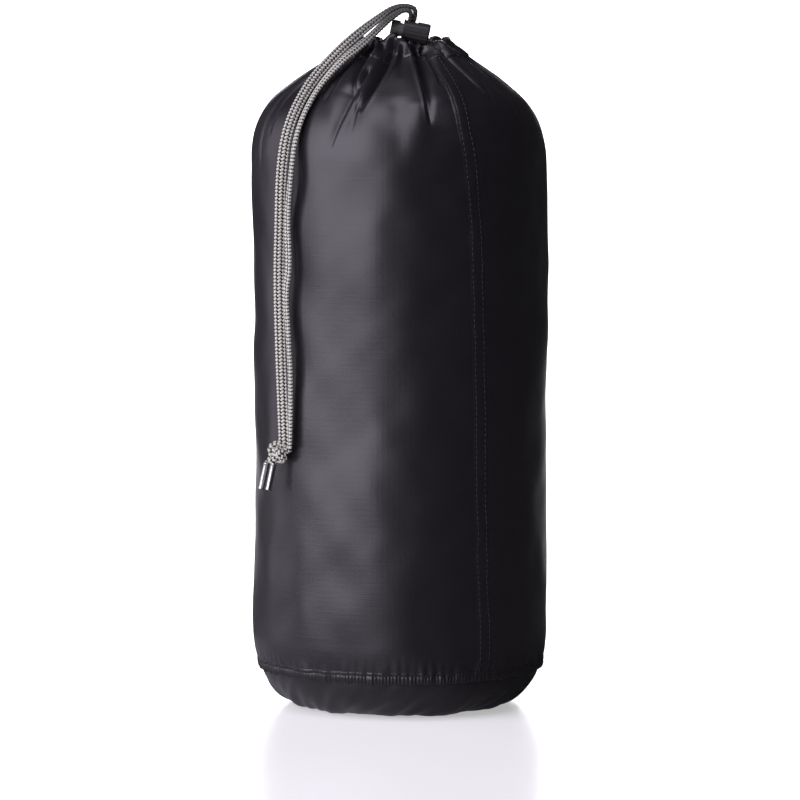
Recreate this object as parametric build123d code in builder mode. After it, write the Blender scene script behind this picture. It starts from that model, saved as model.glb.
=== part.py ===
"""Drawstring stuff sack, stuffed and standing, with a barrel cord lock and two knotted cord ends.

Millimetres, +Z up, origin at the middle of the base. The front is -Y and the side seam is right of it.
"""
import os
from math import cos, degrees, dist, pi, radians, sin, tan

from build123d import *

# Stuffed sack, as an outline turned about Z
SACK_R = 85.0
FLOOR_R = 55.0
CORNER_H = 42.0
SHOULDER_Z = 316.0
SHOULDER_R = 50.0
SHOULDER_TURN = 50.0
RIM_R = 31.0
CLOTH = 1.2

# Bands and strips sewn on the cloth
HEM_Z = 21.7
HEM_H = 5.8
HEM_T = 0.9
HEM_ROW_Z = 26.0
CASING_Z = 375.8
CASING_H = 6.6
CASING_R = 41.5
BARTACK_AZIMUTH = -53.5
BARTACK_DEG = 2.4
SEAM_AZIMUTH = -58.0
SEAM_W = 10.0
SEAM_T = 0.7
STITCH_SPACING = 5.8
THREAD_W = 0.5
THREAD_T = 0.3

# Gathered mouth
MOUTH_R = 12.5
CASING_FLOOR_Z = 371.5
CASING_TOP_Z = 379.0
RING_CORD_R = 18.5
RING_CORD_Z = 375.3
RING_CORD = (4.6, 2.6)
TUNNEL = (9.0, 4.8)
RIM_Z = 385.0
RIM_T = 2.6

# Cord lock: its axis dips to the right, and its cross slot's middle is the origin of its own plane
LOCK_HOLE = (5.9, -18.0, 388.9)
LOCK_DIP = 12.0
BARREL_R = 6.5
BARREL_MOUTH = -4.6
BARREL_END = 11.0
CAVITY_R = 5.15
CAVITY_END = 9.4
PLUNGER_R = 5.0
PLUNGER_TIP = -11.5
PLUNGER_BACK = 2.0
PLUNGER_TRAVEL = 3.0
SLOT_L = 7.0
SLOT_W = 6.4
SLOT_ROUND = 1.0
FLUTES = 16
FLUTE_R = 0.55
COLLAR_L = 2.0
COLLAR_ROUND = 0.5
BARREL_ROUND = 1.4
PLUNGER_ROUND = 1.5
SPRING_R = 3.4
SPRING_WIRE_R = 0.35
SPRING_PITCH = 1.7

# Flat braided cord, 6 x 2.3 mm lying free, modelled as a round tube; squeezed flat inside the lock
CORD_D = 3.4
SQUEEZED = (1.75, 5.0)
NECK_ALONG = -1.5
NECK_FOOT = -14.6
NECK_FOOT_X = 1.5
NECK_TOP = 4.9
PIVOT_GAP = 2.0

# Cord routes, corner by corner, from the lock's slot to the knot
LOOP_LEFT = [
    (7.6, -16.8, 394.3),
    (8.9, -17.0, 400.4),
    (4.6, -18.0, 403.2),
    (-3.6, -21.2, 398.0),
    (-12.7, -24.0, 391.5),
]
LOOP_RIGHT = [
    (5.4, -19.2, 394.7),
    (6.2, -20.6, 399.0),
    (1.4, -24.0, 400.0),
    (-3.2, -26.6, 396.0),
    (-8.0, -28.4, 391.5),
]
TAIL_LEFT = [
    LOOP_LEFT[-1],
    (-22.5, -26.8, 386.0),
    (-36.0, -32.5, 376.5),
    (-51.5, -46.0, 359.5),
    (-63.0, -59.5, 337.0),
    (-67.0, -61.5, 312.0),
    (-67.8, -58.6, 281.0),
    (-68.6, -57.4, 252.0),
    (-68.0, -58.2, 222.0),
    (-66.8, -59.6, 186.0),
    (-65.6, -61.0, 155.0),
]
TAIL_RIGHT = [
    LOOP_RIGHT[-1],
    (-19.0, -33.0, 383.5),
    (-33.5, -42.0, 372.5),
    (-48.0, -54.0, 355.5),
    (-58.5, -64.5, 333.0),
    (-61.5, -67.5, 308.0),
    (-64.0, -63.0, 283.0),
    (-62.6, -63.8, 258.0),
    (-65.0, -61.4, 240.5),
    (-63.2, -63.0, 221.0),
    (-61.4, -64.6, 186.0),
    (-62.6, -64.6, 154.0),
]

# Knot and aglets
KNOT_CENTRE = (-69.6, -60.4, 150.5)
KNOT_AZIMUTH = 220.6
KNOT_SIZE = (18.0, 13.0, 9.6)
KNOT_ROUND = 4.0
AGLET_D = 3.4
AGLET_LEFT = ((-75.6, -57.0, 146.0), (-79.2, -55.5, 129.0))
AGLET_RIGHT = ((-71.5, -61.5, 146.0), (-75.0, -60.4, 128.6))

LOCK_AXIS = Vector(cos(radians(LOCK_DIP)), 0, -sin(radians(LOCK_DIP)))
LOCK_UP = Vector(sin(radians(LOCK_DIP)), 0, cos(radians(LOCK_DIP)))
SEAM_DEG = degrees(SEAM_W / SACK_R)

os.makedirs("parts", exist_ok=True)


def finish(piece, label):
    """Name a finished piece and write its STEP file."""
    piece.part.label = label
    export_step(piece.part, f"parts/{label}.step")


def sack_section(grow):
    """Filled half-section of the sack, with its outside moved out by grow."""
    arc_r = SHOULDER_R + grow
    turn = radians(SHOULDER_TURN)
    arc_end = (SACK_R - SHOULDER_R + arc_r * cos(turn), SHOULDER_Z + arc_r * sin(turn))
    cone = (SACK_R - SHOULDER_R + SHOULDER_R * cos(turn) - RIM_R) / sin(turn)
    top = (arc_end[0] - cone * sin(turn), arc_end[1] + cone * cos(turn))
    corner = (SACK_R - FLOOR_R + grow, CORNER_H + grow)
    with BuildSketch() as section:
        with BuildLine():
            Line((0, -grow), (FLOOR_R, -grow))
            EllipticalCenterArc((FLOOR_R, CORNER_H), *corner, -90, arc_size=90)
            Line((SACK_R + grow, CORNER_H), (SACK_R + grow, SHOULDER_Z))
            CenterArc((SACK_R - SHOULDER_R, SHOULDER_Z), arc_r, 0, SHOULDER_TURN)
            Polyline(arc_end, top, (0, top[1]), (0, -grow))
        make_face()
    return section.sketch


def radial_plane(azimuth):
    """Upright plane through the Z axis, its local X pointing out at azimuth degrees."""
    a = radians(azimuth)
    return Plane((0, 0, 0), x_dir=(cos(a), sin(a), 0), z_dir=(sin(a), -cos(a), 0))


def band(label, inner, outer, low, high, azimuth=0.0, width_deg=360.0):
    """Ring or strip of a cloth layer, width_deg wide about azimuth."""
    with BuildPart() as piece:
        with BuildSketch(radial_plane(azimuth - width_deg / 2)):
            add(sack_section(outer))
            add(sack_section(inner), mode=Mode.SUBTRACT)
            with Locations((SACK_R, (low + high) / 2)):
                Rectangle(3 * SACK_R, high - low, mode=Mode.INTERSECT)
        revolve(axis=Axis.Z, revolution_arc=width_deg)
    finish(piece, label)


def cross_plane(along, up):
    """Plane square to the lock's bore direction, its local X along the lock's axis."""
    origin = Vector(*LOCK_HOLE) + LOCK_AXIS * along + LOCK_UP * up
    return Plane(origin, x_dir=LOCK_AXIS, z_dir=LOCK_UP)


def end_plane(along):
    """Plane square to the lock's axis, facing its closed end."""
    return Plane(Vector(*LOCK_HOLE) + LOCK_AXIS * along, x_dir=(0, 1, 0), z_dir=LOCK_AXIS)


def slot(along, length, width, low, high):
    """Rounded slot along the lock's bore direction, between two heights on it."""
    with BuildPart() as cutter:
        with BuildSketch(cross_plane(along, low)):
            RectangleRounded(length, width, SLOT_ROUND)
        extrude(amount=high - low)
    return cutter.part


def corner_radii(points):
    """Radius of the arc at each inner corner: 0.45 of its shorter run, over the half turn's tangent."""
    radii = []
    for before, here, after in zip(points, points[1:], points[2:]):
        turn = radians((Vector(*here) - Vector(*before)).get_angle(Vector(*after) - Vector(*here)))
        radii.append(0.45 * min(dist(before, here), dist(here, after)) / tan(turn / 2))
    return radii


def cord_tube(label, points, ball_start=False):
    """Round tube along a route of straight runs joined by tangent arcs."""
    radii = corner_radii(points)
    with BuildPart() as tube:
        with BuildLine() as route:
            FilletPolyline(*points, radius=radii)
        with BuildSketch(Plane(route.line @ 0, z_dir=route.line % 0)):
            Circle(CORD_D / 2)
        sweep()
        if ball_start:
            with Locations(points[0]):
                Sphere(CORD_D / 2)
    finish(tube, label)
    length = sum(edge.length for edge in route.edges())
    print(label, f"length {length:.1f}, radii", [round(r, 1) for r in radii])
    print(f"    volume {tube.part.volume:.0f}, against {length * pi * CORD_D**2 / 4:.0f} of its section")


# --- Sack cloth, its hem and its side seam ---
band("body_panel", -CLOTH, 0, HEM_Z, CASING_Z)
band("base_panel", -CLOTH, 0, -CLOTH, HEM_Z)
band("base_hem", 0, HEM_T, HEM_Z, HEM_Z + HEM_H)
band("base_hem_stitching", HEM_T, HEM_T + THREAD_T, HEM_ROW_Z, HEM_ROW_Z + THREAD_W)
band("side_seam_fell", 0, SEAM_T, HEM_Z + HEM_H, CASING_Z, SEAM_AZIMUTH, SEAM_DEG)
for side, sign in (("left", -1), ("right", 1)):
    azimuth = SEAM_AZIMUTH + sign * degrees(STITCH_SPACING / 2 / SACK_R)
    width = degrees(THREAD_W / SACK_R)
    label = f"side_seam_stitch_{side}"
    band(label, SEAM_T, SEAM_T + THREAD_T, HEM_Z + HEM_H, CASING_Z, azimuth, width)

# --- Gathered casing: a ring with a hollow tunnel for the cord and a slot under the lock ---
with BuildPart() as casing:
    with BuildSketch(Plane.XZ):
        with BuildLine():
            Polyline(
                (MOUTH_R, CASING_FLOOR_Z),
                (CASING_R - 3, CASING_FLOOR_Z),
                (CASING_R - 3, CASING_Z),
                (CASING_R, CASING_Z),
                (CASING_R - CASING_H / tan(radians(90 - SHOULDER_TURN)), CASING_Z + CASING_H),
            )
            Spline(
                (CASING_R - CASING_H / tan(radians(90 - SHOULDER_TURN)), CASING_Z + CASING_H),
                (RIM_R, RIM_Z),
                (RIM_R - RIM_T, CASING_TOP_Z),
            )
            Polyline((RIM_R - RIM_T, CASING_TOP_Z), (MOUTH_R, CASING_TOP_Z), (MOUTH_R, CASING_FLOOR_Z))
        make_face()
        with Locations((RING_CORD_R, RING_CORD_Z)):
            RectangleRounded(*TUNNEL, TUNNEL[1] / 2.2, mode=Mode.SUBTRACT)
    revolve(axis=Axis.Z)
    add(slot(NECK_ALONG, SQUEEZED[0] * 2 + 1.2, SQUEEZED[1] + 1, NECK_FOOT, -BARREL_R), mode=Mode.SUBTRACT)
finish(casing, "drawcord_casing")

row_z = CASING_Z + 0.8
band("casing_stitching", 0, THREAD_T, row_z, row_z + THREAD_W)
band("casing_bartack", 0, THREAD_W, row_z + 1, row_z + 6, BARTACK_AZIMUTH, BARTACK_DEG)

# --- Drawcord: the ring in the tunnel, and two strands squeezed side by side through the lock ---
with BuildPart() as ring_cord:
    with BuildSketch(Plane.XZ):
        with Locations((RING_CORD_R, RING_CORD_Z)):
            Ellipse(RING_CORD[0] / 2, RING_CORD[1] / 2)
    revolve(axis=Axis.Z)
    with BuildSketch(Plane.XY.offset(CASING_FLOOR_Z)):
        with Locations((NECK_FOOT_X, -RING_CORD_R)):
            Rectangle(2 * SQUEEZED[0] + 1.4, 3 * RING_CORD[0])
    extrude(amount=CASING_TOP_Z - CASING_FLOOR_Z, mode=Mode.SUBTRACT)
finish(ring_cord, "drawcord_in_casing")

for side, sign in (("left", -1), ("right", 1)):
    with BuildPart() as neck:
        with BuildSketch(cross_plane(NECK_ALONG + sign * SQUEEZED[0] / 2, NECK_FOOT)):
            Rectangle(*SQUEEZED)
        extrude(amount=NECK_TOP - NECK_FOOT)
    finish(neck, f"drawcord_neck_{side}")

# --- Cord lock ---
with BuildPart() as barrel:
    with BuildSketch(end_plane(BARREL_MOUTH)):
        Circle(BARREL_R)
    extrude(amount=BARREL_END - BARREL_MOUTH)
    rims = barrel.edges().filter_by(GeomType.CIRCLE).sort_by(Axis(LOCK_HOLE, LOCK_AXIS))
    fillet(rims[-1], BARREL_ROUND)
    fillet(rims[0], COLLAR_ROUND)
    with BuildSketch(end_plane(BARREL_MOUTH + COLLAR_L)):
        with PolarLocations(BARREL_R + FLUTE_R / 2, FLUTES):
            Circle(FLUTE_R)
    extrude(amount=BARREL_END - BARREL_MOUTH, mode=Mode.SUBTRACT)
    with BuildSketch(end_plane(BARREL_MOUTH)):
        Circle(CAVITY_R)
    extrude(amount=CAVITY_END - BARREL_MOUTH, mode=Mode.SUBTRACT)
    add(slot(0, SLOT_L, SLOT_W, -2 * BARREL_R, 2 * BARREL_R), mode=Mode.SUBTRACT)
finish(barrel, "lock_barrel")

with BuildPart() as plunger:
    with BuildSketch(end_plane(PLUNGER_TIP)):
        Circle(PLUNGER_R)
    extrude(amount=PLUNGER_BACK - PLUNGER_TIP)
    rims = plunger.edges().filter_by(GeomType.CIRCLE).sort_by(Axis(LOCK_HOLE, LOCK_AXIS))
    fillet(rims[0], PLUNGER_ROUND)
    add(slot(-PLUNGER_TRAVEL, SLOT_L, SLOT_W, -2 * PLUNGER_R, 2 * PLUNGER_R), mode=Mode.SUBTRACT)
finish(plunger, "lock_plunger")

with BuildPart() as spring:
    with BuildLine() as coil:
        Helix(
            SPRING_PITCH,
            CAVITY_END - PLUNGER_BACK - 2 * SPRING_WIRE_R,
            SPRING_R,
            center=Vector(*LOCK_HOLE) + LOCK_AXIS * (PLUNGER_BACK + SPRING_WIRE_R),
            direction=LOCK_AXIS,
        )
    with BuildSketch(Plane(coil.line @ 0, z_dir=coil.line % 0)):
        Circle(SPRING_WIRE_R - 0.02)
    sweep(is_frenet=True)
finish(spring, "lock_spring")

# --- Cord ends: loops over the lock, then the free tails, their knot and the aglets ---
for side, loop, tail in (("left", LOOP_LEFT, TAIL_LEFT), ("right", LOOP_RIGHT, TAIL_RIGHT)):
    last_run = Vector(*loop[-1]) - Vector(*loop[-2])
    loop_end = Vector(*loop[-1]) - last_run.normalized() * PIVOT_GAP
    cord_tube(f"cord_loop_{side}", [*loop[:-1], tuple(loop_end)])
    cord_tube(f"tail_strand_{side}", tail, ball_start=True)

with BuildPart() as knot:
    turn = radians(KNOT_AZIMUTH)
    face = Plane(KNOT_CENTRE, x_dir=(-sin(turn), cos(turn), 0), z_dir=(cos(turn), sin(turn), 0))
    with BuildSketch(face.offset(-KNOT_SIZE[2] / 2)):
        Rectangle(KNOT_SIZE[0], KNOT_SIZE[1])
    extrude(amount=KNOT_SIZE[2])
    fillet(knot.edges(), KNOT_ROUND)
finish(knot, "tail_knot")

for side, (top, tip) in (("left", AGLET_LEFT), ("right", AGLET_RIGHT)):
    with BuildPart() as aglet:
        with BuildSketch(Plane(top, z_dir=Vector(*tip) - Vector(*top))):
            Circle(AGLET_D / 2)
        extrude(amount=dist(top, tip))
    finish(aglet, f"aglet_{side}")
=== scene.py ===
"""Drawstring stuff sack of black taffeta, stuffed and standing, with its cord lock and cord ends.

Metres, +Z up, the front is -Y. The frame holds the hardware and every body; the cloth, braid,
knot, thread, spring and metal tips are made here, piece by piece, from the cloth to the cord.
"""

import bpy
import numpy as np
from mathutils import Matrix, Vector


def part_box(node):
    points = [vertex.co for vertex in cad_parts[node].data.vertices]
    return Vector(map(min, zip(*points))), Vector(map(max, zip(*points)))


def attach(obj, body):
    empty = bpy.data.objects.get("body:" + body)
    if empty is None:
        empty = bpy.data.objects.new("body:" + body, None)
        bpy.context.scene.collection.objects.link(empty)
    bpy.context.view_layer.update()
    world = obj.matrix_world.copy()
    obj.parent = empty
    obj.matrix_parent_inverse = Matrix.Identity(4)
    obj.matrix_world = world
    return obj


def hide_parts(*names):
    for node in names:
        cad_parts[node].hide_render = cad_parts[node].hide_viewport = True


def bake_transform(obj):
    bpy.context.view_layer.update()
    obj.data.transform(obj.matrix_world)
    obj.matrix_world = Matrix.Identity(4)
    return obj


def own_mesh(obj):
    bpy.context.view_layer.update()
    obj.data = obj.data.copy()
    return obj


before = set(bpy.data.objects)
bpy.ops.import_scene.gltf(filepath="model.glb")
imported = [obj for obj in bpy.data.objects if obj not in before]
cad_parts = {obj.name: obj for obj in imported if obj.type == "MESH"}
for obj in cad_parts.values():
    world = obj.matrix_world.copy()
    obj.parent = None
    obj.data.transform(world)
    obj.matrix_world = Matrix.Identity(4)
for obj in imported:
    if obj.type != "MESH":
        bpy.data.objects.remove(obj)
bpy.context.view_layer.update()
MM = 0.001


# --- Studio ---
# A white table with a white backdrop behind it. One large softbox at the left front draws the broad
# highlight, a smaller one overhead lights the folds, and a card at the far left lifts the left edge.
def paint(code, alpha=1.0):
    """Linear colour of an sRGB hex code."""
    channels = np.array([int(code[i : i + 2], 16) for i in (1, 3, 5)]) / 255
    linear = np.where(channels <= 0.04045, channels / 12.92, ((channels + 0.055) / 1.055) ** 2.4)
    return (*linear, alpha)


def add_node(tree, kind, sockets=None, **settings):
    """Add a shader node, set its own settings, and fill or link its input sockets."""
    made = tree.nodes.new(kind)
    for name, value in settings.items():
        setattr(made, name, value)
    for key, value in (sockets or {}).items():
        if isinstance(value, bpy.types.NodeSocket):
            tree.links.new(value, made.inputs[key])
        else:
            made.inputs[key].default_value = value
    return made


def new_material(name, **sockets):
    """Material with one Principled shader whose plain sockets are set directly."""
    made = bpy.data.materials.new(name)
    made.use_nodes = True
    shader = made.node_tree.nodes["Principled BSDF"]
    for key, value in sockets.items():
        shader.inputs[key.replace("_", " ")].default_value = value
    return made, made.node_tree, shader


def put_mesh(name, points, faces, uv=None):
    """Smooth mesh object from arrays of points, faces and one UV pair per point."""
    mesh = bpy.data.meshes.new(name)
    mesh.from_pydata(points.reshape(-1, 3).tolist(), [], faces.tolist())
    if uv is not None:
        layer = mesh.uv_layers.new(name="cloth")
        corner = np.empty(len(mesh.loops), dtype=np.int32)
        mesh.loops.foreach_get("vertex_index", corner)
        layer.data.foreach_set("uv", uv.reshape(-1, 2)[corner].astype(np.float32).ravel())
    mesh.polygons.foreach_set("use_smooth", np.ones(len(mesh.polygons), dtype=bool))
    mesh.update()
    made = bpy.data.objects.new(name, mesh)
    bpy.context.collection.objects.link(made)
    return made


def grid_faces(rows, columns, wrap=True):
    """Quads of a grid of rows x columns points, closed round its columns if wrap."""
    count = columns if wrap else columns - 1
    row, column = np.meshgrid(np.arange(rows - 1), np.arange(count), indexing="ij")
    after = (column + 1) % columns
    corners = (row * columns + column, row * columns + after)
    corners += ((row + 1) * columns + after, (row + 1) * columns + column)
    return np.stack(corners, axis=-1).reshape(-1, 4)


def softbox(name, place, aim, size, power, colour="#ffffff"):
    """Rectangular area light at place, facing aim."""
    lamp = bpy.data.lights.new(name, "AREA")
    lamp.shape = "RECTANGLE"
    lamp.size, lamp.size_y = size
    lamp.energy = power
    lamp.color = paint(colour)[:3]
    made = bpy.data.objects.new(name, lamp)
    made.location = place
    direction = np.array(aim) - np.array(place)
    turn = np.arctan2(direction[1], direction[0])
    tilt = np.arctan2(np.hypot(direction[0], direction[1]), -direction[2])
    made.rotation_euler = (tilt, 0, turn - np.pi / 2)
    bpy.context.collection.objects.link(made)
    return made


sack_low, sack_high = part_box("body_panel")
sack_r = sack_high[0]
view_height = 0.176
view_distance = 2.5
view_rise = np.radians(4.8)
camera = bpy.data.objects.new("camera", bpy.data.cameras.new("camera"))
camera.data.lens = 193.9
camera.data.clip_end = 20
camera.location = (
    0,
    -view_distance * np.cos(view_rise),
    view_height + view_distance * np.sin(view_rise),
)
camera.rotation_euler = (np.pi / 2 - view_rise, 0, 0)
bpy.context.collection.objects.link(camera)
bpy.context.scene.camera = camera

table_half = 0.62
bend_r = 0.8
bend_start = 2.6
wall_top = 2.6
flat_y = np.array([-0.75, -0.4, 0.0, 0.6])
bend = np.linspace(0, np.pi / 2, 16)
sweep_y = np.concatenate([flat_y, bend_start + bend_r * np.sin(bend), [bend_start + bend_r]])
sweep_z = np.concatenate([0 * flat_y, bend_r * (1 - np.cos(bend)), [wall_top]])
sweep_x = np.array([-table_half, table_half])
sweep = np.stack(
    [
        np.broadcast_to(sweep_x, (len(sweep_y), 2)),
        np.broadcast_to(sweep_y[:, None], (len(sweep_y), 2)),
        np.broadcast_to(sweep_z[:, None], (len(sweep_y), 2)),
    ],
    axis=-1,
)
near_rows = len(flat_y)
table = put_mesh("table", sweep[:near_rows], grid_faces(near_rows, 2, wrap=False)[:, ::-1])
backdrop_faces = grid_faces(len(sweep_y) - near_rows + 1, 2, wrap=False)[:, ::-1]
backdrop = put_mesh("backdrop", sweep[near_rows - 1 :], backdrop_faces)
# The table top is left out of every reflection, because it made the cloth's lower part too light
table.visible_glossy = False
# Lit partly from below through translucent acrylic, so it stays white close to the sack
table_white, _, _ = new_material(
    "white_acrylic_table",
    Base_Color=paint("#f7f7f8"),
    Roughness=0.2,
    Specular_IOR_Level=0.45,
    Emission_Color=paint("#ffffff"),
    Emission_Strength=0.42,
)
for piece in (table, backdrop):
    piece.data.materials.append(table_white)
# A dim grey card under the table is what the cloth mirrors in its place. It fades out to the right.
card_x = np.array([-table_half, 0.2])
card_y = np.array([-0.75, 0.25])
card_corners = np.stack(np.meshgrid(card_x, card_y), axis=-1).reshape(-1, 2)
card_points = np.pad(card_corners, ((0, 0), (0, 1)), constant_values=-2 * MM)
under_card = put_mesh("under_table_card", card_points, grid_faces(2, 2, wrap=False)[:, ::-1])
card_grey, card_tree, card_shader = new_material(
    "grey_paper_card", Base_Color=paint("#2a2a2c"), Roughness=0.9, Emission_Color=paint("#f6f0ff")
)
card_place = add_node(card_tree, "ShaderNodeTexCoord").outputs["Object"]
card_across = add_node(card_tree, "ShaderNodeSeparateXYZ", {"Vector": card_place}).outputs["X"]
card_fade = add_node(
    card_tree,
    "ShaderNodeMapRange",
    {"Value": card_across, "From Min": -0.07, "From Max": 0.09, "To Min": 0.33, "To Max": 0.0},
    interpolation_type="SMOOTHSTEP",
)
card_tree.links.new(card_fade.outputs["Result"], card_shader.inputs["Emission Strength"])
under_card.data.materials.append(card_grey)

softbox("softbox_left_front", (-1.5, -1.32, 0.87), (0, 0, 0.3), (2.75, 2.3), 59, "#f6f0ff")
softbox("softbox_high", (-0.3, -0.75, 1.95), (0, 0, 0.35), (1.5, 1.2), 15, "#f8efff")
softbox("card_left", (-1.95, 0.6, 0.5), (0, 0, 0.2), (1.0, 1.6), 6.5, "#f8efff")
softbox("backdrop_light", (0, 1.5, 1.9), (0, 3.4, 0.8), (1.4, 0.9), 120)
world = bpy.data.worlds.new("studio_air")
world.use_nodes = True
world.node_tree.nodes["Background"].inputs["Color"].default_value = paint("#ffffff")
world.node_tree.nodes["Background"].inputs["Strength"].default_value = 0.03
bpy.context.scene.world = world
bpy.context.scene.view_settings.view_transform = "Standard"


# --- Sack body ---
# Coated nylon taffeta cut as one 534 x 430 mm length, joined into a tube and stuffed tight. Its top
# is drawn up on the cord, so the spare width lies in sharp folds that run out over the shoulder.
floor_r = 55 * MM
corner_h = 42 * MM
shoulder_z = 316 * MM
shoulder_r = 50 * MM
shoulder_turn = np.radians(50)
cone_length = 47.2 * MM
hem_z = sack_low[2]
casing_z = sack_high[2]


def sack_outline(step=0.5 * MM):
    """Radius and height up the sack's side: an elliptical corner, a straight side, a round
    shoulder and a straight cone, as points a step apart or closer."""
    corner = np.linspace(-np.pi / 2, 0, 200)
    shoulder = np.linspace(0, shoulder_turn, 120)
    radius = [floor_r + (sack_r - floor_r) * np.cos(corner)]
    height = [corner_h + corner_h * np.sin(corner)]
    side = np.arange(corner_h, shoulder_z, step)[1:]
    radius += [np.full(len(side), sack_r), sack_r - shoulder_r * (1 - np.cos(shoulder))]
    height += [side, shoulder_z + shoulder_r * np.sin(shoulder)]
    cone = np.arange(step, cone_length, step)
    radius.append(radius[-1][-1] - cone * np.sin(shoulder_turn))
    height.append(height[-1][-1] + cone * np.cos(shoulder_turn))
    return np.concatenate(radius), np.concatenate(height)


outline_r, outline_z = sack_outline()
outline_s = np.concatenate([[0], np.cumsum(np.hypot(np.diff(outline_r), np.diff(outline_z)))])
hem_s = np.interp(hem_z, outline_z, outline_s)
casing_s = np.interp(casing_z, outline_z, outline_s)


def outline_at(down):
    """Radius, height and outward slope of the outline, down metres below the casing's stitching."""
    s = casing_s - down
    radius = np.interp(s, outline_s, outline_r)
    height = np.interp(s, outline_s, outline_z)
    ahead, behind = s + 1 * MM, s - 1 * MM
    slope_r = np.interp(ahead, outline_s, outline_r) - np.interp(behind, outline_s, outline_r)
    slope_z = np.interp(ahead, outline_s, outline_z) - np.interp(behind, outline_s, outline_z)
    size = np.hypot(slope_r, slope_z) + 1e-12
    return radius, height, slope_z / size, -slope_r / size


# Each gather: azimuth at the mouth, half way and at its foot (degrees), start and end down the
# cloth, depth and half width (mm), and the side whose lip lies over (-1, 1, or 0 for a soft valley,
# which a negative depth makes a low ridge)
front_gathers = [
    (-97.5, -101.5, -107, -12, 47, 10.0, 5.8, 1),
    (-75.0, -77.3, -78.0, -12, 55, 7.5, 4.4, -1),
    (-118.5, -117.5, -113, -12, 32, 5.5, 3.6, 1),
    (-112.6, -114.2, -117.5, 22, 70, 4.2, 5.2, 1),
    (-110.8, -110.5, -110.0, 6, 40, 2.8, 2.2, 1),
    (-108.4, -108.8, -109.0, 38, 65, 1.3, 1.2, 1),
    (-91, -90.5, -90, 34, 78, 0.9, 5.0, 0),
    (-82, -82.5, -83, 34, 74, -0.9, 6.0, 0),
    (-87.5, -88.5, -90, -12, 20, 1.6, 2.6, 0),
    (-66, -67, -69, -12, 26, 4.2, 2.6, -1),
    (-50, -48, -46, -12, 34, 4.0, 3.2, -1),
    (-31, -38, -46, -12, 45, 2.6, 3.8, -1),
    (-21, -28.5, -38, -12, 62, 2.8, 5.4, -1),
    (-5, -11, -17, -12, 57, 2.2, 4.6, -1),
    (-127, -127, -125, -12, 40, 4.6, 3.2, 1),
    (-134, -135.5, -131, -12, 50, 4.6, 3.4, 1),
    (-143, -144, -141, -12, 40, 4.0, 3.0, 1),
    (-151.5, -153.5, -151.5, -12, 62, 5.2, 3.8, 1),
    (-163, -160, -157, -12, 80, 4.4, 3.6, 1),
]
deal = np.random.default_rng(11)
back_shape = (18, 1)
back_azimuth = np.arange(4, 186, 10.2)[:, None] + deal.uniform(-2.5, 2.5, back_shape)
back_gathers = np.hstack(
    [
        back_azimuth,
        back_azimuth + deal.uniform(-5, 5, back_shape),
        back_azimuth + deal.uniform(-7, 7, back_shape),
        np.full(back_shape, -12),
        deal.uniform(28, 80, back_shape),
        deal.uniform(3.5, 7.5, back_shape),
        deal.uniform(2.6, 5.0, back_shape),
        deal.choice([-1, 1], back_shape),
    ]
)
gathers = np.vstack([front_gathers, back_gathers])


def gather_depth(azimuth, down):
    """How far the folds pull the cloth in. Each is a wedge that narrows to its foot: a steep wall
    under a raised lip on one side, and a slow rise back to the surface on the other."""
    radius = outline_at(down)[0]
    depth = np.zeros(np.broadcast(azimuth, down).shape)
    for top, middle, foot, start, end, deep, half, lap in gathers:
        along = (down / MM - start) / (end - start)
        inside = np.clip(along, 0, 1)
        bow = 4 * (middle - (top + foot) / 2) * inside * (1 - inside)
        across = azimuth - np.radians(top + (foot - top) * inside + bow)
        across = (across + np.pi) % (2 * np.pi) - np.pi
        rise = np.clip(along * 5, 0, 1) ** 2 if start > 0 else 1.0
        fade = rise * (1 - inside) ** 0.62 * (along > -0.3)
        if lap:
            x = lap * across * radius / (half * MM * (1.1 - 0.72 * inside))
            wall = 1 / (1 + np.exp(np.clip((x - 0.3) / 0.09, -50, 50)))
            shape = wall * np.exp(-(np.clip(-x, 0, None) ** 1.4)) - 0.13 * np.exp(-(((x - 0.85) / 0.4) ** 2))
        else:
            shape = np.exp(-((across * radius / (half * MM)) ** 2))
        depth += deep * MM * fade * shape
    return depth


def waves(azimuth, along, seed, count, rounds, reach, slope=1.0):
    """Soft irregular swell, mostly between -1 and 1: a sum of plane waves that close round the sack,
    with up to rounds waves about it and wavelengths along it mostly longer than half of reach."""
    pick = np.random.default_rng(seed)
    total = 0
    weight = 0
    for _ in range(count):
        around = pick.integers(1, rounds + 1)
        rate = pick.normal(0, 1) * 2 * np.pi / reach * slope
        size = 1 / (1 + around / rounds * 2 + abs(rate) * reach / 6)
        total = total + size * np.sin(around * azimuth + rate * along + pick.uniform(0, 2 * np.pi))
        weight += size**2
    return total / np.sqrt(weight * 2)


seam_azimuth = np.radians(-58)


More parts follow.
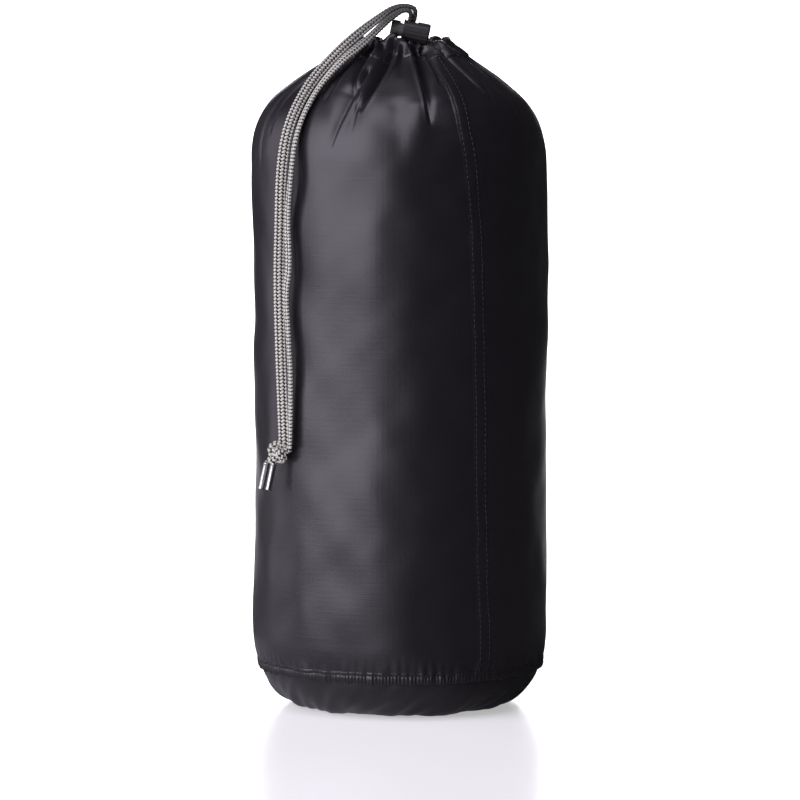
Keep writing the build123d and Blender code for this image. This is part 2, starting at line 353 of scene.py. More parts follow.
def cloth_lift(azimuth, down):
    """All that moves the cloth off its outline: folds, lobes between them, soft swells from the
    stuffing, tension puckers along the seam, and fine puckers along the hem."""
    radius, height = outline_at(down)[:2]
    above_hem = (casing_s - hem_s) - down
    lobe_fade = np.exp(-((np.clip(down, 0, None) / (60 * MM)) ** 2))
    draw_in = 2.2 * MM * np.exp(-((down / (16 * MM)) ** 2))
    lift = -gather_depth(azimuth, down) + 1.1 * MM * lobe_fade - draw_in
    body = np.clip(down / (40 * MM), 0, 1) * np.clip(above_hem / (25 * MM), 0, 1)
    lift += 1.1 * MM * body * waves(azimuth, down, 3, 26, 7, 0.13)
    lift += 0.36 * MM * body * waves(azimuth, down, 5, 40, 22, 0.05)
    from_seam = np.abs((azimuth - seam_azimuth + np.pi) % (2 * np.pi) - np.pi) * radius
    pucker = waves(azimuth, down, 8, 30, 5, 0.022)
    lift += 0.2 * MM * body * pucker * np.exp(-from_seam / (7 * MM))
    drag = waves(azimuth, down, 9, 24, 14, 0.03, slope=1.4)
    lift += 0.45 * MM * body * drag * np.exp(-(((from_seam - 10 * MM) / (16 * MM)) ** 2))
    fine = waves(azimuth, above_hem, 12, 60, 110, 0.02)
    lift += 0.75 * MM * fine * np.exp(-(((above_hem - 5 * MM) / (6 * MM)) ** 2))
    return lift


def cloth_point(azimuth, down, lift):
    """Point on the sack at an azimuth and a length down the cloth, lifted off the outline."""
    radius, height, out_r, out_z = outline_at(down)
    r = radius + lift * out_r
    return np.stack([r * np.cos(azimuth), r * np.sin(azimuth), height + lift * out_z], axis=-1)


body_columns = 560
body_rows = 152
body_turn = seam_azimuth + np.arange(body_columns) * 2 * np.pi / body_columns
body_share = np.linspace(0, 1, body_rows)
body_down = (casing_s - hem_s) * (0.55 * body_share + 0.45 * body_share**2)
near_hem = casing_s - hem_s - 30 * MM
body_down = np.sort(np.concatenate([body_down, np.linspace(near_hem, casing_s - hem_s - 1 * MM, 24)]))
turn_grid, down_grid = np.meshgrid(body_turn, body_down)
body_lift = cloth_lift(turn_grid, down_grid)
body_points = cloth_point(turn_grid, down_grid, body_lift)
body_uv = np.stack([(turn_grid - seam_azimuth) * sack_r, -down_grid], axis=-1)
body = put_mesh("body_panel_cloth", body_points, grid_faces(*turn_grid.shape)[:, ::-1], body_uv)


def taffeta(name, shade="#151317", slub="#1f1b21", rough=0.35):
    """Polyurethane-coated nylon taffeta: calendered filament weave, so it is dark with a broad
    satin sheen, and the thicker weft threads show as faint streaks round the sack."""
    made, tree, shader = new_material(
        name,
        Roughness=rough,
        IOR=1.53,
        Sheen_Weight=0.04,
        Sheen_Roughness=0.5,
        Sheen_Tint=paint("#8d8794"),
        Specular_IOR_Level=0.62,
    )
    where = add_node(tree, "ShaderNodeTexCoord").outputs["UV"]
    streak_place = add_node(
        tree, "ShaderNodeMapping", {"Vector": where, "Scale": (60, 1700, 1)}
    ).outputs["Vector"]
    streak = add_node(tree, "ShaderNodeTexNoise", {"Vector": streak_place, "Scale": 1.0, "Detail": 3.0})
    cloud = add_node(tree, "ShaderNodeTexNoise", {"Vector": where, "Scale": 28.0, "Detail": 4.0})
    # Sockets 0, 6 and 7 of a colour Mix node are its factor and its two colours
    tone = add_node(
        tree,
        "ShaderNodeMix",
        {0: streak.outputs["Fac"], 6: paint(shade), 7: paint(slub)},
        data_type="RGBA",
    )
    tree.links.new(tone.outputs[2], shader.inputs["Base Color"])
    rough_range = add_node(
        tree,
        "ShaderNodeMapRange",
        {
            "Value": cloud.outputs["Fac"],
            "From Min": 0.3,
            "From Max": 0.7,
            "To Min": rough - 0.03,
            "To Max": rough + 0.05,
        },
    )
    tree.links.new(rough_range.outputs["Result"], shader.inputs["Roughness"])
    # The weave is too fine to show at this size, so a grid of low bumps 3 mm apart stands for it.
    # The wave texture makes 20 / (2 pi) waves to the metre at a scale of one.
    weave_scale = 100.0
    warp = add_node(
        tree,
        "ShaderNodeTexWave",
        {"Vector": where, "Scale": weave_scale, "Distortion": 0.4, "Detail": 1.0},
        bands_direction="X",
    )
    weft = add_node(
        tree,
        "ShaderNodeTexWave",
        {"Vector": where, "Scale": weave_scale, "Distortion": 0.4, "Detail": 1.0},
        bands_direction="Y",
    )
    weave = add_node(
        tree,
        "ShaderNodeMath",
        {0: warp.outputs["Fac"], 1: weft.outputs["Fac"]},
        operation="MULTIPLY",
    )
    fine = add_node(
        tree,
        "ShaderNodeBump",
        {"Height": weave.outputs[0], "Strength": 0.25, "Distance": 0.05 * MM},
    )
    soft = add_node(
        tree,
        "ShaderNodeBump",
        {
            "Height": streak.outputs["Fac"],
            "Strength": 0.3,
            "Distance": 0.14 * MM,
            "Normal": fine.outputs["Normal"],
        },
    )
    tree.links.new(soft.outputs["Normal"], shader.inputs["Normal"])
    return made


black_taffeta = taffeta("coated_nylon_taffeta")
body.data.materials.append(black_taffeta)
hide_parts("body_panel")
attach(body, "sack")


# --- Base panel ---
# A 200 mm round of the same taffeta. It lies flat where the sack stands, turns up round the
# stuffing, and its edge runs up inside the hem, drawn into short slanting wrinkles.
base_columns = 480
base_edge = hem_s + 3 * MM
base_rows_s = np.concatenate([np.linspace(base_edge, 1 * MM, 44), np.zeros(10)])
base_disc = np.concatenate([np.ones(45), np.linspace(0.9, 0.02, 9)])
base_turn = np.arange(base_columns) * 2 * np.pi / base_columns
turn_grid_b, s_grid = np.meshgrid(base_turn, base_rows_s)
wrinkle = waves(turn_grid_b - 9 * s_grid, s_grid, 21, 40, 44, 0.05)
broad = waves(turn_grid_b - 4 * s_grid, s_grid, 22, 20, 16, 0.08)
near_edge = np.clip(s_grid / base_edge, 0, 1)
base_lift = -2.0 * MM * near_edge**10
base_lift += (1.05 * wrinkle + 1.3 * broad) * MM * np.sin(np.pi * np.clip(near_edge, 0, 1) ** 0.8) ** 0.7
base_points = cloth_point(turn_grid_b, casing_s - s_grid, base_lift)
base_points[..., :2] *= base_disc[:, None, None]
base_points[..., 2] = np.maximum(base_points[..., 2], 0)
base_uv = base_points[..., :2] * (1 + s_grid[..., None] / sack_r)
base = put_mesh("base_panel_cloth", base_points, grid_faces(*s_grid.shape)[:, ::-1], base_uv)
base.data.materials.append(black_taffeta)
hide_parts("base_panel")
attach(base, "sack")


# --- Base hem ---
# The body's lower edge, turned under 6 mm and topstitched over the base panel. The thread is
# tighter than the cloth, so the fold's edge runs in small scallops with a groove at the row.
hem_down = casing_s - hem_s
row_up = 5 * MM
hem_profile = np.array([
    # height above the fold's edge, lift off the body
    (7.2, -0.1), (6.4, 0.22), (5.5, 0.36), (5.0, 0.05), (4.5, 0.42), (3.4, 0.8),
    (2.0, 1.0), (0.9, 1.05), (0.25, 0.9), (0.0, 0.5), (0.2, -0.1), (0.9, -0.7),
]) * MM
hem_columns = 1600
hem_turn = np.arange(hem_columns) * 2 * np.pi / hem_columns
hem_turn_grid, hem_up = np.meshgrid(hem_turn, hem_profile[:, 0])
hem_off = np.broadcast_to(hem_profile[:, 1:], hem_turn_grid.shape)
scallop = waves(hem_turn_grid, 0 * hem_up, 31, 40, 120, 0.02)
# Small even puckers, 2 mm apart, between the stitches
pucker_count = 262
pucker_drift = 5 * waves(hem_turn_grid, 0 * hem_up, 33, 16, 24, 0.02)
pucker = np.sin(pucker_count * hem_turn_grid + pucker_drift)
hem_edge_fade = np.clip(1 - hem_up / (4 * MM), 0, 1)
hem_place = hem_down - hem_up + 0.5 * MM * scallop * hem_edge_fade
hem_lift = cloth_lift(hem_turn_grid, hem_down - hem_up) + hem_off * (1 + 0.34 * scallop + 0.3 * pucker)
hem_points = cloth_point(hem_turn_grid, hem_place, hem_lift)
hem_uv = np.stack([hem_turn_grid * sack_r, hem_up], axis=-1)
hem = put_mesh("base_hem_fold", hem_points, grid_faces(*hem_up.shape)[:, ::-1], hem_uv)
hem.data.materials.append(black_taffeta)
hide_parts("base_hem")
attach(hem, "sack")


# --- Side seam ---
# A flat-felled seam, 10 mm wide, that closes the tube: four layers of cloth under two rows of
# lockstitch. It leans a little as it climbs, because the stuffing twists the sack.
def seam_line(down):
    """Azimuth of the seam's middle, by length down the cloth."""
    stations = np.array([-12, 20, 60, 110, 200, 375]) * MM
    return np.radians(np.interp(down, stations, [-61.5, -62.5, -63.5, -60.0, -58.0, -55.5]))


def on_cloth(down, across, lift):
    """Point on the cloth beside the seam's middle: across metres to the right, lift proud."""
    azimuth = seam_line(down) + across / np.maximum(outline_at(down)[0], 30 * MM)
    return cloth_point(azimuth, down, cloth_lift(azimuth, down) + lift)


seam_row = 2.9 * MM
fell_profile = np.array([
    # distance from the middle, height; the stitching pulls a groove 2.9 mm out
    (-5.2, -0.2), (-4.7, 0.0), (-4.2, 0.12), (-3.6, 0.24), (-3.2, 0.26), (-2.9, 0.12), (-2.6, 0.28),
    (-1.6, 0.36), (0.0, 0.38), (1.6, 0.36), (2.6, 0.28), (2.9, 0.12), (3.2, 0.26), (3.6, 0.24),
    (4.2, 0.12), (4.7, 0.0), (5.2, -0.2),
]) * MM
fell_down = np.linspace(0.5 * MM, hem_down - 6 * MM, 560)
across_grid, fell_down_grid = np.meshgrid(fell_profile[:, 0], fell_down)
tug = waves(0 * fell_down_grid, fell_down_grid, 41, 30, 1, 0.014)
fell_lift = fell_profile[:, 1] * (1 + 0.12 * tug)
fell_points = on_cloth(fell_down_grid, across_grid, fell_lift)
fell_uv = np.stack([across_grid, -fell_down_grid], axis=-1)
fell_faces = grid_faces(*fell_lift.shape, wrap=False)[:, ::-1]
fell = put_mesh("side_seam_fell_cloth", fell_points, fell_faces, fell_uv)
fell.data.materials.append(black_taffeta)
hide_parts("side_seam_fell")
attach(fell, "sack")


def polyester_thread():
    """Bonded polyester sewing thread, two plies twisted: a touch greyer and more matt than the
    cloth. The ridges of the twist are drawn too fine to be seen one by one."""
    made, tree, shader = new_material(
        "bonded_polyester_thread", Base_Color=paint("#2a272c"), Roughness=0.42, Specular_IOR_Level=0.5
    )
    where = add_node(tree, "ShaderNodeTexCoord").outputs["UV"]
    ply = add_node(tree, "ShaderNodeTexWave", {"Vector": where, "Scale": 60.0}, bands_direction="DIAGONAL")
    bump = add_node(
        tree,
        "ShaderNodeBump",
        {"Height": ply.outputs["Fac"], "Strength": 0.6, "Distance": 0.05 * MM},
    )
    tree.links.new(bump.outputs["Normal"], shader.inputs["Normal"])
    return made


black_thread = polyester_thread()


def sew(name, middles, ahead, up, node, length=2.5 * MM, thick=0.24 * MM):
    """Row of lockstitches: each is a short tube that bows out of the cloth and dives at its ends,
    so its height is a parabola along it and its radius shrinks where it goes under."""
    share = np.linspace(-1, 1, 6)
    spin = np.arange(5) * 2 * np.pi / 5
    side = np.cross(ahead, up)
    side /= np.linalg.norm(side, axis=-1, keepdims=True)
    bow = thick * (1.5 * (1 - share**2) - 0.9)
    girth = thick * np.sqrt(np.clip(1 - 0.6 * share**2, 0, 1))
    spine = middles[:, None] + ahead[:, None] * (share * length / 2)[:, None] + up[:, None] * bow[:, None]
    ring = side[:, None, None] * np.cos(spin)[:, None] + up[:, None, None] * np.sin(spin)[:, None]
    points = spine[:, :, None] + ring * girth[:, None, None]
    faces = grid_faces(len(share), len(spin))
    faces = (faces + np.arange(len(middles))[:, None, None] * len(share) * len(spin)).reshape(-1, 4)
    uv = np.stack(np.broadcast_arrays(share[:, None] * length * 0.5 / MM, spin / 6), axis=-1)
    uv = np.broadcast_to(uv, (len(middles), *uv.shape))
    row = put_mesh(name, points, faces, uv)
    row.data.materials.append(black_thread)
    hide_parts(node)
    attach(row, "sack")
    return row


def unit(vectors):
    """Vectors brought to length one."""
    return vectors / np.linalg.norm(vectors, axis=-1, keepdims=True)


stitch_pitch = 3.1 * MM
for side, sign in (("left", -1), ("right", 1)):
    middle = np.arange(2 * MM, hem_down - 7 * MM, stitch_pitch)
    place = on_cloth(middle, sign * seam_row, 0.22 * MM)
    ahead = unit(on_cloth(middle + 1 * MM, sign * seam_row, 0.22 * MM) - place)
    across = unit(on_cloth(middle, sign * seam_row + 0.5 * MM, 0.22 * MM) - place)
    up = unit(np.cross(ahead, across))
    sew(f"side_seam_thread_{side}", place, ahead, up, f"side_seam_stitch_{side}", thick=0.29 * MM)

hem_stitches = 172
hem_stitch_turn = np.arange(hem_stitches) * 2 * np.pi / hem_stitches


def hem_row(azimuth):
    """Point on the hem's groove at an azimuth."""
    down = hem_down - row_up + 0 * azimuth
    return cloth_point(azimuth, down, cloth_lift(azimuth, down) + 0.3 * MM)


place = hem_row(hem_stitch_turn)
ahead = unit(hem_row(hem_stitch_turn + 0.004) - place)
out = np.stack([np.cos(hem_stitch_turn), np.sin(hem_stitch_turn), 0 * hem_stitch_turn], axis=-1)
up = unit(out - ahead * np.sum(out * ahead, axis=-1, keepdims=True))
sew("base_hem_thread", place, ahead, up, "base_hem_stitching")


# --- Gathered casing ---
# The body's top edge folded down inside and stitched into a 15 mm tunnel. Drawn up on the cord, its
# two layers stand in a ring of ruffles that fold over the rim and choke the mouth.
casing_columns = 720
rim_path = np.array([
    # radius and height, from the stitching over the rim and down the throat
    (40.2, 374.2), (36.4, 378.2), (33.0, 381.2), (30.8, 383.4), (29.4, 384.7), (28.2, 385.2),
    (27.0, 384.6), (25.9, 383.0), (24.2, 380.4), (21.8, 378.3), (18.8, 376.6), (15.8, 374.8),
    (13.2, 372.0), (12.4, 368.0), (13.0, 362.0),
]) * MM
fine_share = np.linspace(0, 1, 64)


def smooth_through(values, at):
    """Catmull-Rom curve through evenly spaced values."""
    spot = at * (len(values) - 1)
    i = np.clip(spot.astype(int), 0, len(values) - 2)
    f = (spot - i)[:, None]
    pad = np.vstack([2 * values[0] - values[1], values, 2 * values[-1] - values[-2]])
    a, b, c, d = pad[i], pad[i + 1], pad[i + 2], pad[i + 3]
    return 0.5 * (2 * b + (c - a) * f + (2 * a - 5 * b + 4 * c - d) * f**2 + (3 * b - a - 3 * c + d) * f**3)


rim_curve = smooth_through(rim_path, fine_share)
rim_slope = unit(np.gradient(rim_curve, axis=0))
rim_out = np.stack([rim_slope[:, 1], -rim_slope[:, 0]], axis=-1)
rim_turn = np.arange(casing_columns) * 2 * np.pi / casing_columns - np.pi
rim_turn_grid = np.meshgrid(rim_turn, fine_share)[0]
rim_run = np.concatenate([[0], np.cumsum(np.linalg.norm(np.diff(rim_curve, axis=0), axis=1))])
rim_up = np.broadcast_to(rim_run[:, None], rim_turn_grid.shape)
over_rim = np.clip((rim_up - 12 * MM) / (6 * MM), 0, 1)
pleat = gather_depth(rim_turn_grid, np.maximum(-rim_up, -11.9 * MM))
ruffle = waves(rim_turn_grid, rim_up, 51, 36, 40, 0.03)
rim_lift = (1 - over_rim) * (0.25 * MM - pleat + 1.1 * MM) + over_rim * (0.75 * pleat - 1.2 * MM)
rim_lift += (0.25 + 0.5 * np.clip(rim_up / (14 * MM), 0, 1)) * MM * ruffle
rim_lift *= np.clip(1.15 - np.clip(rim_up / (60 * MM), 0, 1), 0.2, 1)
rim_lift[0] -= 0.9 * MM
dip = 2.6 * MM * waves(rim_turn_grid, 0 * rim_up, 52, 20, 9, 0.03) * np.clip(rim_up / (12 * MM), 0, 1)
# Pressed down under the lock, one ruffle standing up just left of it, and sagging on the right
lock_turn = np.degrees(rim_turn_grid)
seat = -6.8 * MM * np.exp(-(((lock_turn + 70) / 15) ** 2)) + 1.2 * MM * np.exp(-(((lock_turn + 97) / 5) ** 2))
seat -= 3.6 * MM * np.exp(-(((lock_turn - 20) / 50) ** 2))
dip += seat * np.clip(rim_up / (10 * MM), 0, 1)
ring_r = rim_curve[:, :1] + rim_lift * rim_out[:, :1]
ring_z = rim_curve[:, 1:] + rim_lift * rim_out[:, 1:] + dip * np.clip(ring_r / (28 * MM), 0, 1) ** 2 * 0.6
rim_points = np.stack([ring_r * np.cos(rim_turn_grid), ring_r * np.sin(rim_turn_grid), ring_z], axis=-1)
rim_uv = np.stack([rim_turn_grid * sack_r, rim_up], axis=-1)
rim = put_mesh("drawcord_casing_ruffle", rim_points, grid_faces(*rim_turn_grid.shape), rim_uv)
rim.data.materials.append(black_taffeta)
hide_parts("drawcord_casing")
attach(rim, "sack")

casing_stitches = 118
casing_turn = np.arange(casing_stitches) * 2 * np.pi / casing_stitches


def casing_row(azimuth, down=-1.6 * MM):
    """Point on the stitched lower edge of the casing at an azimuth."""
    return cloth_point(azimuth, down + 0 * azimuth, -0.55 * MM - gather_depth(azimuth, down + 0 * azimuth))


place = casing_row(casing_turn)
ahead = unit(casing_row(casing_turn + 0.01) - place)
lower = unit(casing_row(casing_turn, -0.8 * MM) - place)
up = unit(np.cross(lower, ahead))
sew("casing_thread", place, ahead, up, "casing_stitching", length=1.7 * MM, thick=0.22 * MM)

tack_turn = seam_line(0.0) + np.repeat([0.10, 0.125], 9)
tack_down = -np.tile(np.linspace(2.5, 9.5, 9), 2) * MM
place = cloth_point(tack_turn, tack_down, 1.5 * MM - gather_depth(tack_turn, tack_down))
beside = cloth_point(tack_turn + 0.01, tack_down, 1.5 * MM - gather_depth(tack_turn + 0.01, tack_down))
below = cloth_point(tack_turn, tack_down + 1 * MM, 1.5 * MM - gather_depth(tack_turn, tack_down + 1 * MM))
ahead = unit(beside - place)
up = unit(np.cross(unit(below - place), ahead))
sew("casing_tack_thread", place, ahead, up, "casing_bartack", length=2.0 * MM)


# --- Cord lock ---
# A moulded acetal barrel lock: a fluted barrel with a button sliding in it. The button's slot and
# the barrel's slot are held out of line by the spring, and that pinches the two strands.
def moulded_acetal(name, colour, rough):
    """Injection-moulded acetal, lightly spark-eroded: even dark grey with a soft sheen and a fine
    grain that breaks the highlights up."""
    made, tree, shader = new_material(
        name, Roughness=rough, Base_Color=paint(colour), IOR=1.48, Specular_IOR_Level=0.5
    )
    where = add_node(tree, "ShaderNodeTexCoord").outputs["Object"]
    grain = add_node(tree, "ShaderNodeTexNoise", {"Vector": where, "Scale": 1 / (0.25 * MM), "Detail": 2.0})
    scuff = add_node(tree, "ShaderNodeTexNoise", {"Vector": where, "Scale": 1 / (3 * MM), "Detail": 5.0})
    worn = add_node(
        tree,
        "ShaderNodeMapRange",
        {
            "Value": scuff.outputs["Fac"],
            "From Min": 0.35,
            "From Max": 0.7,
            "To Min": rough - 0.05,
            "To Max": rough + 0.12,
        },
    )
    tree.links.new(worn.outputs["Result"], shader.inputs["Roughness"])
    bump = add_node(
        tree,
        "ShaderNodeBump",
        {"Height": grain.outputs["Fac"], "Strength": 0.3, "Distance": 0.04 * MM},
    )
    tree.links.new(bump.outputs["Normal"], shader.inputs["Normal"])
    return made


def dress(node, material):
    """Give a frame node its finish."""
    frame_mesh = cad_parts[node].data
    frame_mesh.materials.clear()
    frame_mesh.materials.append(material)


dress("lock_barrel", moulded_acetal("moulded_acetal_barrel", "#2b2a2a", 0.38))
dress("lock_plunger", moulded_acetal("moulded_acetal_button", "#5b5e59", 0.45))

lock_dip = np.radians(12)
lock_axis = np.array([np.cos(lock_dip), 0, -np.sin(lock_dip)])
lock_up = np.array([np.sin(lock_dip), 0, np.cos(lock_dip)])
lock_hole = np.array([5.9, -18.0, 388.9]) * MM


def sweep_round(line, radius, around):
    """Points of a round tube carried along a line, with its ring square to the line."""
    tangent = unit(np.gradient(line, axis=0))
    across = unit(np.cross(tangent, np.array([0.31, 0.87, 0.39])))
    other = np.cross(tangent, across)
    spin = np.arange(around) * 2 * np.pi / around
    ring = across[:, None] * np.cos(spin)[:, None] + other[:, None] * np.sin(spin)[:, None]
    return line[:, None] + ring * radius


coil_turns = 4.5
coil_around = 8
coil_share = np.linspace(0, 1, 160)
coil_rise = 2.4 * MM + 6.6 * MM * (coil_share - 0.04 * np.sin(2 * np.pi * coil_share))
coil_spin = 2 * np.pi * coil_turns * coil_share
coil_side = np.cross(lock_up, lock_axis)
coil_line = (
    lock_hole
    + lock_axis * coil_rise[:, None]
    + 3.4 * MM * (lock_up * np.cos(coil_spin)[:, None] + coil_side * np.sin(coil_spin)[:, None])
)
coil_points = sweep_round(coil_line, 0.35 * MM, coil_around)
coil = put_mesh("lock_spring_coil", coil_points, grid_faces(len(coil_share), coil_around))
spring_steel, _, _ = new_material(
    "spring_steel_wire", Base_Color=paint("#b9bbbd"), Metallic=1.0, Roughness=0.28, Anisotropic=0.4
)
coil.data.materials.append(spring_steel)
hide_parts("lock_spring")
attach(coil, "cord_lock")
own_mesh(coil)


# --- Cord ---
# Flat braided polyester drawcord, 6 mm wide and 2.3 mm thick: light and dark yarns plaited over and
# under each other round a black core, so light beads stand in columns on each face.
def spline_line(name, route, spacing):
    """Points a spacing apart on the smooth spline that has the route as its control points."""
    curve = bpy.data.curves.new(name, "CURVE")
    curve.dimensions = "3D"
    spline = curve.splines.new("NURBS")
    spline.points.add(len(route) - 1)
    spline.points.foreach_set("co", np.hstack([route, np.ones((len(route), 1))]).ravel())
    spline.order_u = 3
    spline.use_endpoint_u = True
    spline.resolution_u = 32
    holder = bpy.data.objects.new(name, curve)
    drawn = bpy.data.meshes.new_from_object(holder)
    points = np.empty(len(drawn.vertices) * 3)
    drawn.vertices.foreach_get("co", points)
    points = points.reshape(-1, 3)
    bpy.data.objects.remove(holder)
    bpy.data.curves.remove(curve)
    bpy.data.meshes.remove(drawn)
    run = np.concatenate([[0], np.cumsum(np.linalg.norm(np.diff(points, axis=0), axis=1))])
    even = np.linspace(0, run[-1], int(run[-1] / spacing) + 1)
    return np.stack([np.interp(even, run, points[:, k]) for k in range(3)], axis=-1), even


def cord_yarn(name, colour, fibre, rough):
    """Textured polyester yarn: fine filaments twisted together, matt with a soft edge glow."""
    made, tree, shader = new_material(
        name, Roughness=rough, Sheen_Weight=0.35, Sheen_Roughness=0.5, Specular_IOR_Level=0.35
    )
    where = add_node(tree, "ShaderNodeTexCoord").outputs["UV"]
    ply = add_node(
        tree,
        "ShaderNodeTexWave",
        {"Vector": where, "Scale": 1.6, "Distortion": 1.5, "Detail": 2.0},
        bands_direction="DIAGONAL",
    )
    tone = add_node(tree, "ShaderNodeMix", data_type="RGBA")
    tone.inputs[6].default_value = paint(colour)
    tone.inputs[7].default_value = paint(fibre)
    tree.links.new(ply.outputs["Fac"], tone.inputs[0])
    # Painted shade on the lock's end: the colour is darkest up to 22 mm from the lock and full past 66 mm. U
    # is in millimetres.
    from_lock = add_node(tree, "ShaderNodeSeparateXYZ", {"Vector": where}).outputs["X"]
    painted_shade_near_lock = add_node(
        tree,
        "ShaderNodeMapRange",
        {"Value": from_lock, "From Min": 22.0, "From Max": 66.0, "To Min": 0.10, "To Max": 1.0},
    )
    shaded = add_node(
        tree,
        "ShaderNodeVectorMath",
        {0: tone.outputs[2], "Scale": painted_shade_near_lock.outputs["Result"]},
        operation="SCALE",
    )
    tree.links.new(shaded.outputs[0], shader.inputs["Base Color"])
    bump = add_node(
        tree,
        "ShaderNodeBump",
        {"Height": ply.outputs["Fac"], "Strength": 0.5, "Distance": 0.06 * MM},
    )
    tree.links.new(bump.outputs["Normal"], shader.inputs["Normal"])
    return made


light_yarn = cord_yarn("light_grey_polyester_yarn", "#e2e2d6", "#aaaaa0", 0.55)
dark_yarn = cord_yarn("black_polyester_yarn", "#19181a", "#0d0c0e", 0.6)
cord_half_w = 2.45 * MM
cord_half_t = 0.72 * MM
braid_turn = 12.2 * MM


def braid(name, line, along, wide, half_w=cord_half_w, half_t=cord_half_t, yarns=6):
    """Flat plait along a line. Light yarns go round an oval section one way and dark yarns the
    other; both rise and sink with the cosine of the crossings, light up where dark is down."""
    tangent = unit(np.gradient(line, axis=0))
    wide = unit(wide - tangent * np.sum(wide * tangent, axis=-1, keepdims=True))
    thick = np.cross(tangent, wide)
    rate = 2 * np.pi / braid_turn
    spin = np.arange(6) * 2 * np.pi / 6
    parts, uvs = [], []
    for way in (1, -1):
        for k in range(yarns):
            angle = way * rate * along + 2 * np.pi * k / yarns + np.pi / 6
            rise = 0.26 * MM * way * np.cos(yarns * rate * along) + (0.1 + 0.08 * way) * MM
            centre = line + wide * (np.cos(angle) * (half_w + rise))[:, None]
            centre += thick * (np.sin(angle) * (half_t + rise))[:, None]
            ahead = unit(np.gradient(centre, axis=0))
            out = wide * (np.cos(angle) / half_w)[:, None] + thick * (np.sin(angle) / half_t)[:, None]
            out = unit(out - ahead * np.sum(out * ahead, axis=-1, keepdims=True))
            flat = np.cross(ahead, out)
            ring = flat[:, None] * (np.cos(spin) * 0.70 * MM)[:, None]
            ring = ring + out[:, None] * (np.sin(spin) * 0.34 * MM)[:, None]
            parts.append(centre[:, None] + ring)
            uvs.append(np.stack(np.broadcast_arrays(along[:, None] / MM, spin / 2), axis=-1))
    core_w = wide[:, None] * np.cos(spin)[:, None] * np.reshape(half_w, (-1, 1, 1))
    core_t = thick[:, None] * np.sin(spin)[:, None] * np.reshape(half_t, (-1, 1, 1))
    parts.append(line[:, None] + (core_w + core_t) * 0.92)
    uvs.append(uvs[-1])
    count = len(parts)
    faces = grid_faces(len(line), len(spin))
    ends = np.arange(count) * len(line) * len(spin)
    faces = (faces[None] + ends[:, None, None]).reshape(-1, 4)
    made = put_mesh(name, np.stack(parts), faces, np.stack(uvs))
    made.data.materials.append(light_yarn)
    made.data.materials.append(dark_yarn)
    per_yarn = len(faces) // count
    index = (np.arange(len(faces)) // per_yarn >= yarns).astype(np.int32)
    made.data.polygons.foreach_set("material_index", index)
    return made


loop_left = np.array([
    (7.6, -16.8, 394.3), (10.2, -17.0, 401.2), (4.4, -18.0, 403.9), (-3.8, -20.0, 402.8),
]) * MM
loop_right = np.array([
    (5.4, -19.2, 394.7), (7.4, -20.2, 400.0), (2.0, -22.5, 401.6), (-4.6, -25.5, 397.6),
]) * MM
tail_left = np.array([
    (-12.7, -23.6, 396.2), (-22.8, -26.8, 388.6), (-36.0, -32.5, 377.2), (-51.5, -46.0, 359.5),
    (-63.0, -59.5, 337.0), (-67.0, -61.5, 312.0), (-67.8, -58.6, 281.0), (-68.6, -57.4, 252.0),
    (-68.0, -58.2, 222.0), (-66.8, -59.6, 186.0), (-65.6, -61.0, 155.0),
]) * MM
tail_right = np.array([
    (-11.0, -28.6, 391.8), (-20.5, -33.6, 382.6), (-33.5, -42.0, 372.5), (-48.0, -54.0, 355.5),
    (-58.5, -64.5, 333.0), (-61.5, -67.5, 308.0), (-64.0, -63.0, 283.0), (-62.6, -63.8, 258.0),
    (-65.0, -61.4, 240.5), (-63.2, -63.0, 221.0), (-61.4, -64.6, 186.0), (-62.6, -64.6, 154.0),
]) * MM


# --- Knot ---
# Both strands tied together in one overhand knot and pulled down hard, so the two cords lie side by
# side round its one turn.
knot_middle = np.array([-69.6, -60.4, 150.5]) * MM
knot_turn = np.radians(220.6)
knot_out = np.array([np.cos(knot_turn), np.sin(knot_turn), 0])
knot_side = np.array([-knot_out[1], knot_out[0], 0])
knot_up = np.array([0, 0, 1.0])
lean_over = np.radians(36)
knot_long = knot_side * np.cos(lean_over) + knot_up * np.sin(lean_over)
knot_short = knot_up * np.cos(lean_over) - knot_side * np.sin(lean_over)


def knot_route(shift, top, tip):
    """Overhand knot as an open trefoil, two waves round a ring and three waves across it. It is
    entered from top behind the knot, left at the tip's mouth, and shift metres off its middle."""
    t = np.linspace(np.pi + 0.5, 3 * np.pi - 0.35, 26)
    flat = np.stack([np.cos(t) - 2 * np.cos(2 * t), -np.sin(t) - 2 * np.sin(2 * t)], axis=-1)
    out = flat / (np.linalg.norm(flat, axis=-1, keepdims=True) + 0.3)
    x, z = (flat * np.array([2.25, 1.5]) * MM + shift * out).T
    y = -np.sin(3 * t) * 2.1 * MM + shift * 0.4
    turns = knot_middle + knot_long * x[:, None] + knot_short * z[:, None] + knot_out * y[:, None]
    behind = knot_middle - knot_out * 2.6 * MM + knot_long * (3 * MM + shift)
    return np.vstack([top, behind, turns, tip])


tip_mouths = {"left": np.array([-75.6, -57.0, 145.2]) * MM, "right": np.array([-71.5, -61.5, 145.2]) * MM}
knot_parts = []
for side, shift, top in (("left", 1.25 * MM, tail_left[-1]), ("right", -1.05 * MM, tail_right[-1])):
    line, along = spline_line("knot_line", knot_route(shift, top, tip_mouths[side]), 0.35 * MM)
    wide = np.cross(np.gradient(line, axis=0), line - knot_middle)
    taper = np.clip((along[-1] - along) / (6 * MM), 0.3, 1)
    strand = braid("knot_strand", line, along + 0.3, wide, 1.75 * MM * taper, 0.8 * MM * taper, yarns=5)
    knot_parts.append(strand)
knot = knot_parts[0]
for other in knot_parts[1:]:
    with bpy.context.temp_override(active_object=knot, selected_editable_objects=[knot, other]):
        bpy.ops.object.join()
knot.name = "tail_knot_braid"
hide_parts("tail_knot")
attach(knot, "cord_tail")


